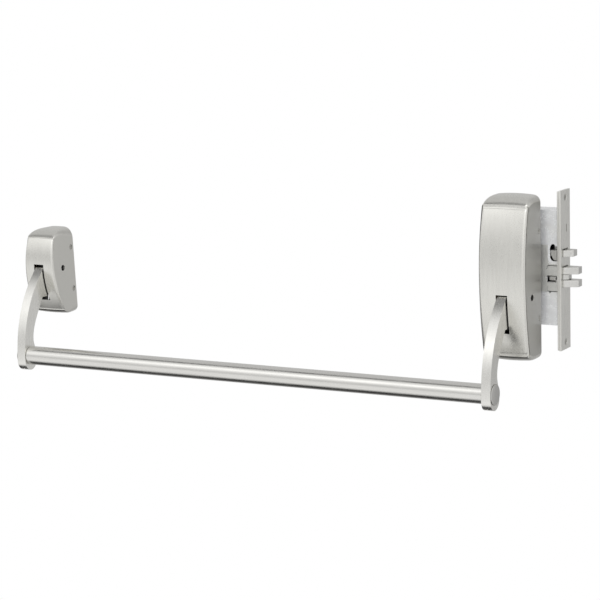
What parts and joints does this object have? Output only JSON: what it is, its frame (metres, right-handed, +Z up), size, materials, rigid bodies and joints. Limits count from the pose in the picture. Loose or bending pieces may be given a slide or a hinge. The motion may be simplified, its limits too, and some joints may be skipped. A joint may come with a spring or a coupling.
{
  "type": "crossbar panic exit device with mortise lock",
  "caption": "Crossbar panic exit device: a round push bar on two curved arms between a tall active case with a mortise lock and a shorter idle case.",
  "frame": {"origin": "centre of the active case's back plate, on the door's face", "axes": "+X along the crossbar from the hinge side to the lock edge of the door, +Y into the door, +Z up"},
  "size_m": [0.7941, 0.1426, 0.2636],
  "materials": {
    "satin_stainless": "satin, brushed",
    "brushed_bar": "brushed along its length",
    "zinc_plate": "bright zinc plated",
    "cast_steel": "grainy, plain",
    "sintered_bolt": "sintered stainless, grainy",
    "pressed_steel": "plain pressed steel",
    "black_oxide": "black oxide",
    "bronze_bush": "sintered bronze"
  },
  "bodies": {
    "fixed": {"active_bush_left": "bronze_bush", "active_bush_right": "bronze_bush", "active_chassis": "pressed_steel", "active_cover": "satin_stainless", "active_cover_screw_1": "satin_stainless", "active_cover_screw_2": "satin_stainless", "active_cover_screw_3": "satin_stainless", "active_cover_screw_4": "satin_stainless", "active_mounting_screw_1": "pressed_steel", "active_mounting_screw_2": "pressed_steel", "active_mounting_screw_3": "pressed_steel", "active_mounting_screw_4": "pressed_steel", "active_pivot_nut": "pressed_steel", "active_pivot_screw": "pressed_steel", "active_return_spring": "black_oxide", "auxiliary_spring": "black_oxide", "deadlock_post": "black_oxide", "faceplate": "satin_stainless", "faceplate_screw_1": "satin_stainless", "faceplate_screw_2": "satin_stainless", "idle_bush_left": "bronze_bush", "idle_bush_right": "bronze_bush", "idle_chassis": "pressed_steel", "idle_cover": "satin_stainless", "idle_cover_screw_1": "satin_stainless", "idle_cover_screw_2": "satin_stainless", "idle_cover_screw_3": "satin_stainless", "idle_cover_screw_4": "satin_stainless", "idle_mounting_screw_1": "pressed_steel", "idle_mounting_screw_2": "pressed_steel", "idle_pivot_nut": "pressed_steel", "idle_pivot_screw": "pressed_steel", "idle_return_spring": "black_oxide", "inner_front": "satin_stainless", "latch_spring": "black_oxide", "lock_case": "zinc_plate", "lock_middle_plate": "cast_steel", "lock_side_plate": "zinc_plate", "slide_keeper": "pressed_steel"},
    "push_bar": {"active_arm": "satin_stainless", "idle_arm": "satin_stainless", "crossbar_tube": "brushed_bar", "active_end_plug": "satin_stainless", "idle_end_plug": "satin_stainless", "active_set_screw": "black_oxide", "idle_set_screw": "black_oxide"},
    "lift_plate": {"lift_slide": "pressed_steel"},
    "hub": {"drive_crank": "cast_steel", "drive_spindle": "pressed_steel", "lock_hub": "sintered_bolt"},
    "latch": {"latchbolt": "sintered_bolt", "tongue_pin": "black_oxide"},
    "tongue": {"anti_friction_tongue": "sintered_bolt"},
    "auxiliary": {"auxiliary_bolt": "sintered_bolt"},
    "deadlock": {"deadlock_lever": "pressed_steel"}
  },
  "joints": [
    {"name": "push_bar_turn", "type": "hinge", "parent": "fixed", "child": "push_bar", "pos_m": [0, -0.029, -0.02], "axis": [1, 0, 0], "range_deg": [0, 14], "stiffness_Nm_per_rad": 3, "springref_deg": -45.84, "deforming": ["active_return_spring", "idle_return_spring"]},
    {"name": "lift_plate_slide", "type": "slide", "parent": "fixed", "child": "lift_plate", "axis": [0, 0, 1], "range_m": [0, 0.00475]},
    {"name": "hub_turn", "type": "hinge", "parent": "fixed", "child": "hub", "pos_m": [-0.00115, 0, 0.022], "axis": [0, 1, 0], "range_deg": [0, 51.21]},
    {"name": "latch_slide", "type": "slide", "parent": "fixed", "child": "latch", "axis": [-1, 0, 0], "range_m": [0, 0.019], "deforming": ["latch_spring"]},
    {"name": "tongue_turn", "type": "hinge", "parent": "latch", "child": "tongue", "pos_m": [0.0524, 0.0246, 0.0007], "axis": [0, 0, 1], "range_deg": [0, 8]},
    {"name": "auxiliary_slide", "type": "slide", "parent": "fixed", "child": "auxiliary", "axis": [-1, 0, 0], "range_m": [0, 0.0127], "stiffness_N_per_m": 250, "springref_m": -0.012, "deforming": ["auxiliary_spring"]},
    {"name": "deadlock_turn", "type": "hinge", "parent": "fixed", "child": "deadlock", "pos_m": [0.016, 0.0165, 0.0175], "axis": [0, -1, 0], "range_deg": [0, 51.39]}
  ],
  "couplings": [
    {"joint": "lift_plate_slide", "follows": "push_bar_turn", "m_per_rad": 0.019452},
    {"joint": "hub_turn", "follows": "push_bar_turn", "ratio": 3.657},
    {"joint": "latch_slide", "follows": "push_bar_turn", "m_per_rad": 0.077758},
    {"joint": "deadlock_turn", "follows": "auxiliary_slide", "rad_per_m": 70.611}
  ]
}
